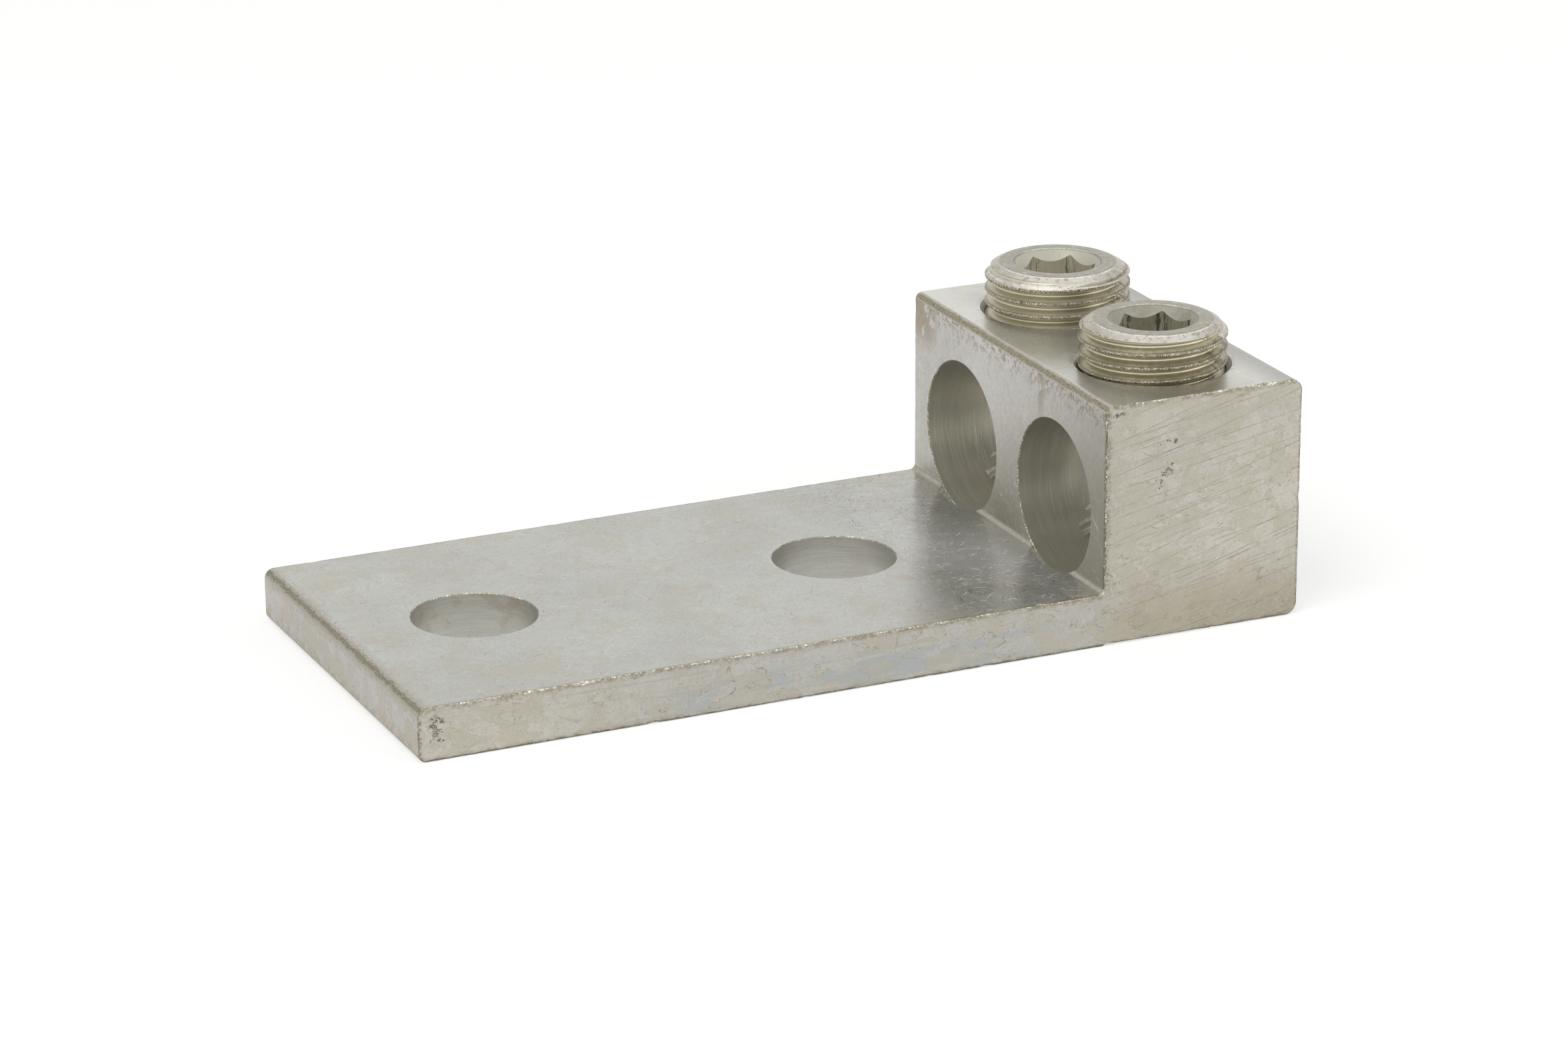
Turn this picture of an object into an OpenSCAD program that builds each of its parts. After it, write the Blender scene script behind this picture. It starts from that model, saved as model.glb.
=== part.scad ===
// Panelboard lug for two conductors, with a two-hole tongue and hex socket set screws.
// Millimetres, +Z up. The origin is midway between the two bolt holes, on the tongue's
// contact face, and +X runs along the tongue to the conductor block.

/* [Tongue] */
// Width of the lug, which is the length that the extruded section is sawn to
lug_w = 48.9; // [46:0.1:60]
// Thickness of the tongue
tongue_t = 6.2; // [5:0.1:8]
// Diameter of the two bolt holes
bolt_hole_d = 14.3; // [9:0.1:18]
// Distance between the bolt holes, centre to centre
bolt_pitch = 44.45; // [32:0.05:60]
// Distance from the outer bolt hole's centre to the end of the tongue
end_margin = 16.2; // [11:0.1:30]
// Distance from the inner bolt hole's centre to the front face of the block
washer_room = 22.15; // [14:0.05:40]

/* [Block] */
// Length of the block, from its front face to its rear face
block_len = 25; // [22:0.1:40]
// Height of the block above the contact face
block_h = 28.4; // [26:0.1:36]
// Height of the shallow hollow under the block, at its front
relief_h = 0.2; // [0.1:0.05:0.6]
// Length of the heel that stays level with the contact face behind the hollow
heel_len = 2.5; // [2:0.1:6]

/* [Section edges] */
// Radius of the inner corner between the tongue and the block
inner_corner_r = 0.7; // [0.3:0.1:2]
// Radius of the block's front top edge
front_top_r = 0.9; // [0.3:0.1:2]
// Radius of the block's rear top edge
rear_top_r = 1.5; // [0.5:0.1:3]
// Radius of the block's rear bottom edge
rear_bottom_r = 1.5; // [0.5:0.1:1.9]
// Radius of the tongue end's top edge
end_top_r = 1.1; // [0.2:0.1:2]
// Radius of the tongue end's bottom edge
end_bottom_r = 1.0; // [0.2:0.1:2]

/* [Wire bores] */
// Diameter of the two wire bores
bore_d = 18.1; // [14:0.1:19]
// Distance between the wire bores, centre to centre
bore_spacing = 23.6; // [21:0.1:26]
// Height of the wire bores' axes above the contact face
bore_axis_z = 14; // [12:0.1:16]
// How far the full drill diameter runs past the front face, into the tongue
drill_overrun = 0.8; // [0.3:0.1:2]
// Included angle of the wire bore drill's point, in degrees
drill_point_angle = 118; // [100:1:140]

/* [Tapped holes] */
// Running clearance round the screw's thread crests, on the radius
thread_clearance = 0.09; // [0.03:0.01:0.2]
// Height of the tapped hole's floor above the lowest line of the wire bore
tap_floor_gap = 1.3; // [0.5:0.05:4]
// Size of the 45 degree chamfer at the tapped hole's mouth
tap_mouth_chamfer = 0.45; // [0.1:0.05:1]

/* [Set screws] */
// Outer diameter of the screw thread
screw_d = 17.12; // [14:0.02:17.6]
// Pitch of the screw thread, 16 threads to the inch
thread_pitch = 1.5875; // [1:0.0005:2]
// Depth of the screw thread, from crest to root
thread_depth = 0.9; // [0.5:0.05:1.2]
// Width of the flat on each thread crest
crest_flat = 0.35; // [0.2:0.05:0.4]
// Length of each screw
screw_len = 10.6; // [9:0.1:20]
// Gap between the right screw's tip and the crown of its wire bore
right_tip_gap = 0.05; // [0.05:0.05:3]
// Gap between the left screw's tip and the crown of its wire bore
left_tip_gap = 0.4; // [0.05:0.05:3]
// Width of the bevel round the screw's top, from the flat ring to the outer diameter
top_bevel_w = 1.66; // [0.5:0.02:1.8]
// Steepness of the bevel round the screw's top, in degrees from level
top_bevel_angle = 25; // [15:1:45]
// Size of the 45 degree chamfer at the screw's tip
tip_chamfer = 1.3; // [0.5:0.1:2]
// Drop from the screw's top to the middle of its first thread crest, right screw
right_crest_drop = 0.31; // [0:0.01:1.58]
// Drop from the screw's top to the middle of its first thread crest, left screw
left_crest_drop = 1.22; // [0:0.01:1.58]

/* [Hex sockets] */
// Hex socket size, across the flats
socket_af = 7.94; // [6:0.02:9]
// Depth of the hex socket's flats below the screw's top
socket_depth = 5.4; // [3:0.1:6]
// How far the countersunk mouth reaches past the socket's corners
socket_mouth_lip = 0.4; // [0.1:0.05:0.7]
// Steepness of the countersink, in degrees from level
socket_mouth_slope = 50; // [30:1:60]
// Included angle of the pilot drill's point at the socket's bottom, in degrees
socket_point_angle = 118; // [110:1:140]
// Turn of the right screw's socket, a corner from +X, in degrees
right_socket_turn = 48; // [0:1:59]
// Turn of the left screw's socket, a corner from +X, in degrees
left_socket_turn = 43; // [0:1:59]

/* [Hidden] */
round_steps = 96;
skin = 0.01;
flank_angle = 30;
root_round = 0.15;
tin = [0.76, 0.75, 0.72];
screw_tin = [0.70, 0.69, 0.63];

tongue_end_x = -bolt_pitch / 2 - end_margin;
block_front_x = bolt_pitch / 2 + washer_room;
block_rear_x = block_front_x + block_len;
screw_x = (block_front_x + block_rear_x) / 2;
bore_r = bore_d / 2;
bore_crown_z = bore_axis_z + bore_r;
bore_floor_z = bore_axis_z - bore_r;
screw_r = screw_d / 2;
tap_r = screw_r + thread_clearance;
tap_floor_z = bore_floor_z + tap_floor_gap;
cut_past = lug_w;

// What rounding takes off a corner at the origin, with the section's material
// on the side that the two signs point to
module corner_waste(r, side_x, side_z) {
  scale([side_x, side_z])
    difference() {
      translate([-skin, -skin])
        square(r + skin);
      translate([r, r])
        circle(r, $fn = round_steps);
    }
}

// The extruded section, with X along the lug and Y as its height
module lug_section() {
  difference() {
    union() {
      translate([tongue_end_x, 0])
        square([block_rear_x - tongue_end_x, tongue_t]);
      translate([block_front_x, 0])
        square([block_len, block_h]);
      translate([block_front_x, tongue_t])
        corner_waste(inner_corner_r, -1, 1);
    }
    translate([tongue_end_x, tongue_t])
      corner_waste(end_top_r, 1, -1);
    translate([tongue_end_x, 0])
      corner_waste(end_bottom_r, 1, 1);
    translate([block_front_x, block_h])
      corner_waste(front_top_r, 1, -1);
    translate([block_rear_x, block_h])
      corner_waste(rear_top_r, -1, -1);
    translate([block_rear_x, 0])
      corner_waste(rear_bottom_r, -1, 1);
    polygon([
      [block_front_x, -skin],
      [block_front_x, relief_h],
      [block_rear_x - heel_len, 0],
      [block_rear_x - heel_len, -skin]
    ]);
  }
}

module bolt_holes() {
  for (x = [-bolt_pitch / 2, bolt_pitch / 2])
    translate([x, 0, -tongue_t])
      cylinder(h = 3 * tongue_t, d = bolt_hole_d, $fn = round_steps);
}

// Places its children over the right wire bore and the left one
module at_each_bore() {
  for (side = [-1, 1])
    translate([0, side * bore_spacing / 2, 0])
      children();
}

// A wire bore drilled from the rear: the drill's full diameter stops just past the
// front face, and its point leaves a shallow scoop in the tongue
module wire_bore() {
  full_end_x = block_front_x - drill_overrun;
  point_len = bore_r / tan(drill_point_angle / 2);
  translate([full_end_x, 0, bore_axis_z])
    rotate([0, 90, 0]) {
      cylinder(h = block_rear_x - full_end_x + cut_past, r = bore_r, $fn = round_steps);
      translate([0, 0, -point_len])
        cylinder(h = point_len, r1 = 0, r2 = bore_r, $fn = round_steps);
    }
}

// A tapped hole, bored to the thread's outer diameter, through the block's top and
// down both walls of the wire bore
module tapped_hole() {
  translate([screw_x, 0, tap_floor_z])
    cylinder(h = block_h - tap_floor_z + cut_past, r = tap_r, $fn = round_steps);
  translate([screw_x, 0, block_h - tap_mouth_chamfer])
    cylinder(
      h = tap_mouth_chamfer + skin,
      r1 = tap_r,
      r2 = tap_r + tap_mouth_chamfer + skin,
      $fn = round_steps
    );
}

module lug_body() {
  color(tin)
    difference() {
      rotate([90, 0, 0])
        linear_extrude(height = lug_w, center = true)
          lug_section();
      bolt_holes();
      at_each_bore() {
        wire_bore();
        tapped_hole();
      }
    }
}

// One turn of the thread's outline, from the upper edge of a crest at height z down
// to the start of the next crest
function thread_turn(z) =
  let (
    root_drop = thread_depth * tan(flank_angle),
    near_root = 1 - root_round,
    edge = crest_flat / 2
  )
  [
    [screw_r, z + edge],
    [screw_r, z - edge],
    [screw_r - near_root * thread_depth, z - edge - near_root * root_drop],
    [screw_r - thread_depth, z - edge - root_drop],
    [screw_r - thread_depth, z - thread_pitch + edge + root_drop],
    [screw_r - near_root * thread_depth, z - thread_pitch + edge + near_root * root_drop]
  ];

// Half of the screw's section as threaded bar, longer than the screw at both ends
module threaded_bar_section(crest_drop) {
  turns = ceil(screw_len / thread_pitch) + 2;
  first_z = screw_len - crest_drop + thread_pitch;
  outline = [for (i = [0 : turns]) each thread_turn(first_z - i * thread_pitch)];
  top_z = outline[0][1];
  bottom_z = outline[len(outline) - 1][1];
  polygon(concat([[0, top_z]], outline, [[0, bottom_z]]));
}

// Half of the screw's section as a plain blank, with its top bevel and tip chamfer
module blank_section() {
  over = 1;
  top_flat_r = screw_r - top_bevel_w;
  bevel_end_z = screw_len - (top_bevel_w + over) * tan(top_bevel_angle);
  polygon([
    [0, 0],
    [screw_r - tip_chamfer, 0],
    [screw_r + over, tip_chamfer + over],
    [screw_r + over, bevel_end_z],
    [top_flat_r, screw_len],
    [0, screw_len]
  ]);
}

// Hex socket with its countersunk mouth and the pilot drill's point below
module hex_socket(turn) {
  flat_r = socket_af / 2;
  corner_r = flat_r / cos(30);
  mouth_r = corner_r + socket_mouth_lip;
  mouth_drop = (mouth_r - flat_r) * tan(socket_mouth_slope);
  point_len = flat_r / tan(socket_point_angle / 2);
  floor_z = screw_len - socket_depth;
  rotate([0, 0, turn])
    translate([0, 0, floor_z])
      cylinder(h = socket_depth + skin, r = corner_r, $fn = 6);
  translate([0, 0, screw_len - mouth_drop])
    cylinder(h = mouth_drop, r1 = flat_r, r2 = mouth_r, $fn = round_steps);
  translate([0, 0, floor_z - point_len])
    cylinder(h = point_len, r1 = 0, r2 = flat_r, $fn = round_steps);
}

module set_screw(crest_drop, socket_turn) {
  color(screw_tin)
    difference() {
      rotate_extrude($fn = round_steps)
        intersection() {
          threaded_bar_section(crest_drop);
          blank_section();
        }
      hex_socket(socket_turn);
    }
}

module right_set_screw() {
  translate([screw_x, -bore_spacing / 2, bore_crown_z + right_tip_gap])
    set_screw(right_crest_drop, right_socket_turn);
}

module left_set_screw() {
  translate([screw_x, bore_spacing / 2, bore_crown_z + left_tip_gap])
    set_screw(left_crest_drop, left_socket_turn);
}

lug_body();
right_set_screw();
left_set_screw();
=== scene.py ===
import math

import bmesh
import bpy
import numpy as np
from mathutils import Matrix, Vector, noise


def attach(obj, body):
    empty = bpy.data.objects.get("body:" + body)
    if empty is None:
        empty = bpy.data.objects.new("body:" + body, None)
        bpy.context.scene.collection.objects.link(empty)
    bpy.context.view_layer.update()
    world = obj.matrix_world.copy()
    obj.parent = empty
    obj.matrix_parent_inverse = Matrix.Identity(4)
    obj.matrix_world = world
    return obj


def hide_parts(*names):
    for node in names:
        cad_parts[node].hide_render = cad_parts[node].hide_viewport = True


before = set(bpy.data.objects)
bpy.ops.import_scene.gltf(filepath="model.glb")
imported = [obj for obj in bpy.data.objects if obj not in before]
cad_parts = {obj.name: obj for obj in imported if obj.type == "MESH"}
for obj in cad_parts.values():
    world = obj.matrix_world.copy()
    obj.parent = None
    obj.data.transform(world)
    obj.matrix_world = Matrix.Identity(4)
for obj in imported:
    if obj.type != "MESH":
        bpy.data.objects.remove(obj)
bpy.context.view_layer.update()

# Sizes in millimetres, the same as the solids'
W, T, H = 48.9, 6.2, 28.4  # the lug's width, the tongue's thickness, the block's height
X0, XF, XR = -38.425, 44.375, 69.375  # the tongue's free end, the block's front and rear
HOLE_R, HOLES = 7.15, (-22.225, 22.225)
BORE_R, BORE_Z, BORE_Y = 9.05, 14.0, (-11.8, 11.8)
SX, TAP_FLOOR = 56.875, 6.25  # the screws' axes and the floor of the tapped pockets
P, SCREW_R, LEN = 1.5875, 8.56, 10.6  # the thread's pitch, the screws' radius and length
# For the screw at each y: its tip's height, a crest's depth below its top, a socket corner's angle
TIPS = {-11.8: 23.1, 11.8: 23.45}
CREST = {-11.8: 0.31, 11.8: 1.22}
TURN = {-11.8: 48.0, 11.8: 43.0}
FRONT = 241.3  # the angle round a screw where CREST was measured

# Radii of the extruded corners, and the shallow relief where the block's heel starts
TOE_LOW_R, TOE_TOP_R, REAR_R, FRONT_R, INNER_R = 1.0, 1.1, 1.5, 0.9, 0.7
RELIEF, HEEL_END = 0.2, 2.5
STEP = 0.34  # the longest edge along the section's outline

LIP = 0.10  # bevel of the bolt holes
DRILL = math.radians(59)  # half of a drill's point angle
BORE_FRONT = 0.8  # how far the bores' full width runs out over the tongue
REAR_LIP, RIM = 0.15, 0.11
TAP_GAP = 0.09  # clearance between a screw and its thread in the block
TAP_FLAT, SCREW_FLAT = 0.45, 0.32  # width of a crest's flat
SMALL_R, FILLET = 0.035, 0.20  # broken edge of a crest, radius at a thread's root
AF = 3.97  # half of a socket's width across its flats
SOCKET_DEPTH, MOUTH_SLOPE = 5.4, math.tan(math.radians(50))
# The screws' upper end: (radius, depth below the top)
SHOULDER = [(8.56, 1.0), (8.3, 0.86), (8.12, 0.72), (7.95, 0.58), (7.7, 0.42), (7.4, 0.26),
            (7.1, 0.115), (6.9, 0.035), (6.72, 0.0)]
FACING = (-0.42, -0.91)  # the level direction from a screw's axis towards the camera, which places the screws' painted highlights and shade
MM = 0.001
TINY = 1e-9


# ---------------- mesh helpers
def make(name, verts, faces):
    me = bpy.data.meshes.new(name)
    me.from_pydata([tuple(v) for v in verts], [], [tuple(f) for f in faces])
    me.validate()
    ob = bpy.data.objects.new(name, me)
    bpy.context.scene.collection.objects.link(ob)
    return ob


def outward(ob):
    bm = bmesh.new()
    bm.from_mesh(ob.data)
    bmesh.ops.remove_doubles(bm, verts=bm.verts, dist=1e-4)
    bmesh.ops.recalc_face_normals(bm, faces=bm.faces)
    bm.to_mesh(ob.data)
    bm.free()
    return ob


def boolean(ob, other, operation="DIFFERENCE"):
    m = ob.modifiers.new("b", "BOOLEAN")
    m.operation, m.object, m.solver = operation, other, "MANIFOLD"
    bpy.context.view_layer.update()
    me = bpy.data.meshes.new_from_object(ob.evaluated_get(bpy.context.evaluated_depsgraph_get()))
    ob.modifiers.clear()
    ob.data = me
    bpy.data.objects.remove(other)
    return ob


def revolve(profile, n, centre, axis="Z"):
    """A closed solid from (radius, height) points that start and end on the axis."""
    verts, faces, rings = [], [], []
    for r, h in profile:
        if r < TINY:
            rings.append([len(verts)])
            verts.append((0, 0, h))
        else:
            rings.append(list(range(len(verts), len(verts) + n)))
            for i in range(n):
                a = 2 * math.pi * i / n
                verts.append((r * math.cos(a), r * math.sin(a), h))
    for a, b in zip(rings, rings[1:]):
        for i in range(n):
            j = (i + 1) % n
            if len(a) == 1 and len(b) > 1:
                faces.append((a[0], b[i], b[j]))
            elif len(b) == 1 and len(a) > 1:
                faces.append((a[i], a[j], b[0]))
            elif len(a) > 1:
                faces.append((a[i], a[j], b[j], b[i]))
    if axis == "X":
        verts = [(z, x, y) for x, y, z in verts]
    return outward(make("revolve", np.add(verts, centre), faces))


def thread_rod(lowest, z0, turns, r_major, flat, centre, n):
    """A right-hand threaded bar that starts below the lowest height.

    z0 is the middle of any crest at angle 0.
    """
    z0 -= P * math.ceil((z0 - lowest) / P)
    e, broken = flat / 2, r_major - SMALL_R
    root = r_major - (P / 2 - e) * math.sqrt(3) + FILLET
    prof = [(-e, broken), (-e + 0.05, r_major), (e - 0.05, r_major), (e, broken)]
    prof += [(P / 2 + FILLET * math.sin(a), root + FILLET * (1 - math.cos(a)))
             for a in np.radians(np.linspace(-60, 60, 9))]
    heights = [(k * P + s, r) for k in range(turns) for s, r in prof]
    verts, faces = [], []
    m = len(heights)
    for i in range(n + 1):
        a = 2 * math.pi * i / n
        for s, r in heights:
            verts.append((r * math.cos(a), r * math.sin(a), z0 + s + P * i / n))
    for i in range(n):
        for j in range(m - 1):
            a, b = i * m + j, (i + 1) * m + j
            faces.append((a, b, b + 1, a + 1))
    per = len(prof)
    low, high = len(verts), len(verts) + 1
    verts += [(0, 0, z0 + P / 2), (0, 0, z0 + turns * P)]
    bottom = [i * m for i in range(n + 1)] + [j for j in range(per, 0, -1)]
    top = [i * m + m - 1 for i in range(n + 1)] + [n * m + m - 1 - j for j in range(1, per)] + [m - 1]
    for a, b in zip(bottom, bottom[1:] + bottom[:1]):
        faces.append((low, b, a))
    for a, b in zip(top, top[1:] + top[:1]):
        if a != b:
            faces.append((high, a, b))
    return outward(make("rod", np.add(verts, centre), faces))


def prism(points, z0, z1, centre):
    n = len(points)
    verts = [(x, y, z) for z in (z0, z1) for x, y in points]
    faces = [tuple(range(n)), tuple(range(n, 2 * n))]
    faces += [(i, (i + 1) % n, n + (i + 1) % n, n + i) for i in range(n)]
    return outward(make("prism", np.add(verts, centre), faces))


def wobble(s, seed, size):
    """A smooth random curve along a length s, between about -1 and 1."""
    return noise.noise(Vector((s / size, seed * 7.31, 0.5)))


# ---------------- lug body
def arc(cx, cz, r, a0, a1, n):
    return [(cx + r * math.cos(a), cz + r * math.sin(a)) for a in np.radians(np.linspace(a0, a1, n))]


def section():
    """The extruded section's outline in X and Z, counter-clockwise seen from -Y."""
    corner = (
        arc(X0 + TOE_LOW_R, TOE_LOW_R, TOE_LOW_R, 180, 270, 10)
        + [(XF - 0.12, 0.0), (XF + 0.2, RELIEF), (XR - HEEL_END, 0.0)]
        + arc(XR - REAR_R, REAR_R, REAR_R, 270, 360, 13)
        + arc(XR - REAR_R, H - REAR_R, REAR_R, 0, 90, 13)
        + arc(XF + FRONT_R, H - FRONT_R, FRONT_R, 90, 180, 10)
        + arc(XF - INNER_R, T + INNER_R, INNER_R, 0, -90, 8)
        + arc(X0 + TOE_TOP_R, T - TOE_TOP_R, TOE_TOP_R, 90, 180, 11)
    )
    out = []
    for a, b in zip(corner, corner[1:] + corner[:1]):
        k = max(1, round(math.dist(a, b) / STEP))
        out += [(a[0] + (b[0] - a[0]) * i / k, a[1] + (b[1] - a[1]) * i / k) for i in range(k)]
    return out


def bar():
    """The sawn length of section, with an uneven narrow bevel where the saw left its edge."""
    pts = section()
    n = len(pts)
    run = np.cumsum([0] + [math.dist(a, b) for a, b in zip(pts, pts[1:])])
    rings = []
    for side in (-1, 1):
        outer, inner = [], []
        for i, (x, z) in enumerate(pts):
            px, pz = pts[i - 1]
            qx, qz = pts[(i + 1) % n]
            tx, tz = qx - px, qz - pz
            d = math.hypot(tx, tz)
            nx, nz = -tz / d, tx / d
            s = run[i]
            # a is the bevel's width across the bar, b its width along the face
            a = 0.09 + 0.09 * abs(wobble(s, side + 3, 1.1)) + 0.12 * max(0, wobble(s, side + 5, 4.0))
            b = 0.09 + 0.08 * abs(wobble(s, side + 7, 0.9)) + 0.10 * max(0, wobble(s, side + 9, 3.0))
            nick = max(0.0, wobble(s, side + 11, 2.1) - 0.42) * 1.2
            if side > 0:  # the far edge is wider and more even
                a, b, nick = 0.5 * a + 0.15, 0.5 * b + 0.13, 0.3 * nick
            a, b = a + nick, b + nick * 0.7
            if abs(x - XF) < 1.2 and z < 1:  # no room by the heel's relief
                b *= 0.3
            outer.append((x, side * (W / 2 - a), z))
            inner.append((x + nx * b, side * W / 2, z + nz * b))
        rings += [outer, inner]
    near_out, near_in, far_out, far_in = rings
    order = [near_in, near_out, far_out, far_in]
    verts = [v for ring in order for v in ring]
    faces = [tuple(range(n)), tuple(range(3 * n, 4 * n))]
    for k in range(3):
        for i in range(n):
            j = (i + 1) % n
            faces.append((k * n + i, k * n + j, (k + 1) * n + j, (k + 1) * n + i))
    return outward(make("lug_shell", verts, faces))


def helix_start(y):
    """Height of a thread crest's middle at angle 0, for the screw at y."""
    return TIPS[y] + LEN - CREST[y] - P * FRONT / 360


def build_lug():
    lug = bar()
    for x in HOLES:
        wide = HOLE_R + LIP
        prof = [(0, -1), (wide + 1, -1), (wide, 0), (HOLE_R, LIP), (HOLE_R, T - LIP), (wide, T),
                (wide + 1, T + 1), (0, T + 1)]
        boolean(lug, revolve(prof, 160, (x, 0, 0)))
    full = XF - BORE_FRONT
    for y in BORE_Y:
        prof = [(0, full - BORE_R / math.tan(DRILL)), (BORE_R, full), (BORE_R, XR - REAR_LIP),
                (BORE_R + REAR_LIP, XR), (BORE_R + REAR_LIP + 1, XR + 1), (0, XR + 1)]
        rim = [(0, XF - 0.04), (BORE_R + RIM, XF - 0.04), (BORE_R + RIM, XF), (BORE_R, XF + 0.10),
               (0, XF + 0.10)]
        for outline in (prof, rim):
            boolean(lug, revolve(outline, 192, (0, y, BORE_Z), "X"))
    r = SCREW_R + TAP_GAP
    blank = [(0, TAP_FLOOR), (r - 0.9, TAP_FLOOR), (r + 0.3, TAP_FLOOR + 1.2), (r + 0.3, H + 1.5),
             (0, H + 1.5)]
    mouth = [(0, H - 1.6), (r - 1.15, H - 1.6), (r + 0.45, H), (r + 1.45, H + 1), (0, H + 1)]
    for y in BORE_Y:
        axis = (SX, y, 0)
        rod = thread_rod(TAP_FLOOR - 2 * P, helix_start(y), 19, r, TAP_FLAT, axis, 144)
        boolean(rod, revolve(blank, 144, axis), "INTERSECT")
        boolean(lug, rod)
        boolean(lug, revolve(mouth, 160, axis))
    return lug


def face_arrays(me):
    """The middles and the normals of a mesh's faces."""
    out = []
    for what in ("center", "normal"):
        values = np.zeros(len(me.polygons) * 3)
        me.polygons.foreach_get(what, values)
        out.append(values.reshape(-1, 3))
    return out


def give_finishes(me, names, kind):
    me.materials.clear()
    for name in names:
        me.materials.append(MATS[name])
    me.polygons.foreach_set("material_index", kind.astype(np.int32))
    me.update()


def sort_faces(lug):
    """Gives every face its finish by where it is and which way it looks."""
    names = ["side", "edge", "hole", "bore", "thread", "tongue", "front", "top", "rear", "end", "under",
             "round"]
    c, nr = face_arrays(lug.data)
    x, y, z = c.T
    nx, ny, nz = nr.T
    kind = np.full(len(c), names.index("round"))

    def mark(name, mask):
        kind[mask] = names.index(name)

    mark("tongue", (nz > 0.99) & (abs(z - T) < 0.02))
    mark("top", (nz > 0.99) & (z > H - 0.02))
    mark("front", (nx < -0.99) & (abs(x - XF) < 0.02) & (z > T))
    mark("rear", (nx > 0.99) & (x > XR - 0.02))
    mark("end", (nx < -0.99) & (x < X0 + 0.02))
    mark("under", (nz < -0.9) & (z < 0.25))
    mark("side", abs(y) > W / 2 - 1e-3)
    mark("edge", (abs(y) > W / 2 - 0.6) & (abs(ny) > 0.12) & (abs(y) <= W / 2 - 1e-3))
    for hx in HOLES:
        d = np.hypot(x - hx, y)
        mark("hole", (d < HOLE_R + 0.02) & (z < T - 0.01) & (z > 0.01))
        mark("edge", (d > HOLE_R + 0.02) & (d < HOLE_R + 0.11) & (abs(nz) < 0.9))
    for by in BORE_Y:
        d = np.hypot(x - SX, y - by)
        mark("thread", (d < SCREW_R + 0.6) & (x > XF + 0.5) & (z > TAP_FLOOR - 0.1) & (abs(nz) < 0.985))
        e = np.hypot(y - by, z - BORE_Z)
        mark("bore", (abs(e - BORE_R) < 0.03) & (x > XF - 0.9) & (abs(nx) < 0.05))
        mark("bore", (e < BORE_R) & (x < XF) & (z < T - 0.001) & (abs(nx) > 0.05))
        mark("edge", (abs(e - BORE_R - 0.065) < 0.055) & (x < XF + 0.11) & (x > XF - 0.05))
    give_finishes(lug.data, names, kind)
    return names, kind


def shade(ob, angle, analytic=None):
    """Smooth shading with hard edges, and exact normals on the flats and the bored walls."""
    me = ob.data
    me.polygons.foreach_set("use_smooth", np.ones(len(me.polygons), bool))
    me.set_sharp_from_angle(angle=math.radians(angle))
    if analytic is None:
        return

    def read(items, what, width, kind):
        values = np.zeros(len(items) * width, kind)
        items.foreach_get(what, values)
        return values.reshape(-1, width) if width > 1 else values

    loops = read(me.corner_normals, "vector", 3, np.float32).astype(float)
    places = read(me.vertices, "co", 3, float)[read(me.loops, "vertex_index", 1, np.int32)]
    total = read(me.polygons, "loop_total", 1, np.int32)
    analytic(me, loops, places, np.repeat(np.arange(len(me.polygons)), total))
    me.normals_split_custom_set([tuple(v) for v in loops])


def finish_piece(ob, name, node, body):
    ob.data.transform(Matrix.Scale(MM, 4))
    ob.name = ob.data.name = name
    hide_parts(node)
    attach(ob, body)


# ---------------- set screws
def build_screw(y):
    tip, top, axis = TIPS[y], TIPS[y] + LEN, (SX, y, 0)
    screw = thread_rod(tip - 2.2 * P, helix_start(y), 11, SCREW_R, SCREW_FLAT, axis, 168)
    blank = [(0, tip), (SCREW_R - 1.36, tip), (SCREW_R - 1.26, tip + 0.04), (SCREW_R + 1, tip + 2.3),
             (SCREW_R + 1, top - 1.4)]
    blank += [(r, top - d) for r, d in SHOULDER] + [(0, top)]
    boolean(screw, revolve(blank, 168, axis), "INTERSECT")
    # the hexagon, with its six corners blunted
    pts, corner = [], AF / math.cos(math.pi / 6)
    for k in range(6):
        for s in (-1, 0, 1):
            a = math.radians(TURN[y] + 60 * k + 2.3 * s)
            r = corner - 0.05 - 0.07 * s * s
            pts.append((r * math.cos(a), r * math.sin(a)))
    floor = top - SOCKET_DEPTH
    boolean(screw, prism(pts, floor, top + 1, axis))
    # the drilled floor and the chamfered mouth
    inside, mouth = AF - 0.08, corner + 0.4
    cone = [(0, floor - AF / math.tan(DRILL)), (inside, floor),
            (inside, top - (mouth - inside) * MOUTH_SLOPE), (mouth - 0.12, top - 0.12 * MOUTH_SLOPE),
            (mouth - 0.02, top - 0.065), (mouth + 0.08, top - 0.02), (mouth + 0.17, top),
            (mouth + 0.5, top + 0.4), (0, top + 0.4)]
    boolean(screw, revolve(cone, 168, axis))
    return screw


def sort_screw(screw, y):
    names = ["screw_thread", "screw_top", "socket", "screw_tip", "socket_mouth"]
    c, nr = face_arrays(screw.data)
    d, z, up = np.hypot(c[:, 0] - SX, c[:, 1] - y), c[:, 2] - TIPS[y], nr[:, 2]
    kind = np.zeros(len(c))
    for name, mask in (
        ("screw_top", (up > 0.8) & (z > LEN - 1.2)),
        ("socket", d < 5.1),
        ("socket_mouth", (d < 5.1) & (up > 0.3) & (z > LEN - 1.6)),
        ("screw_tip", (z < 1.4) & (up < -0.5)),
    ):
        kind[mask] = names.index(name)
    give_finishes(screw.data, names, kind)


# ---------------- materials
# For each plane: the axis of a turn, its sign, and the plane's two axes
PLANES = {"XY": (2, -1, 0, 1), "XZ": (1, 1, 0, 2), "YZ": (0, -1, 1, 2)}


def empty_tree(owner):
    owner.use_nodes = True
    owner.node_tree.nodes.clear()
    return owner.node_tree


def tone(base, k):
    return tuple(min(1, c * k) for c in base)


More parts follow.
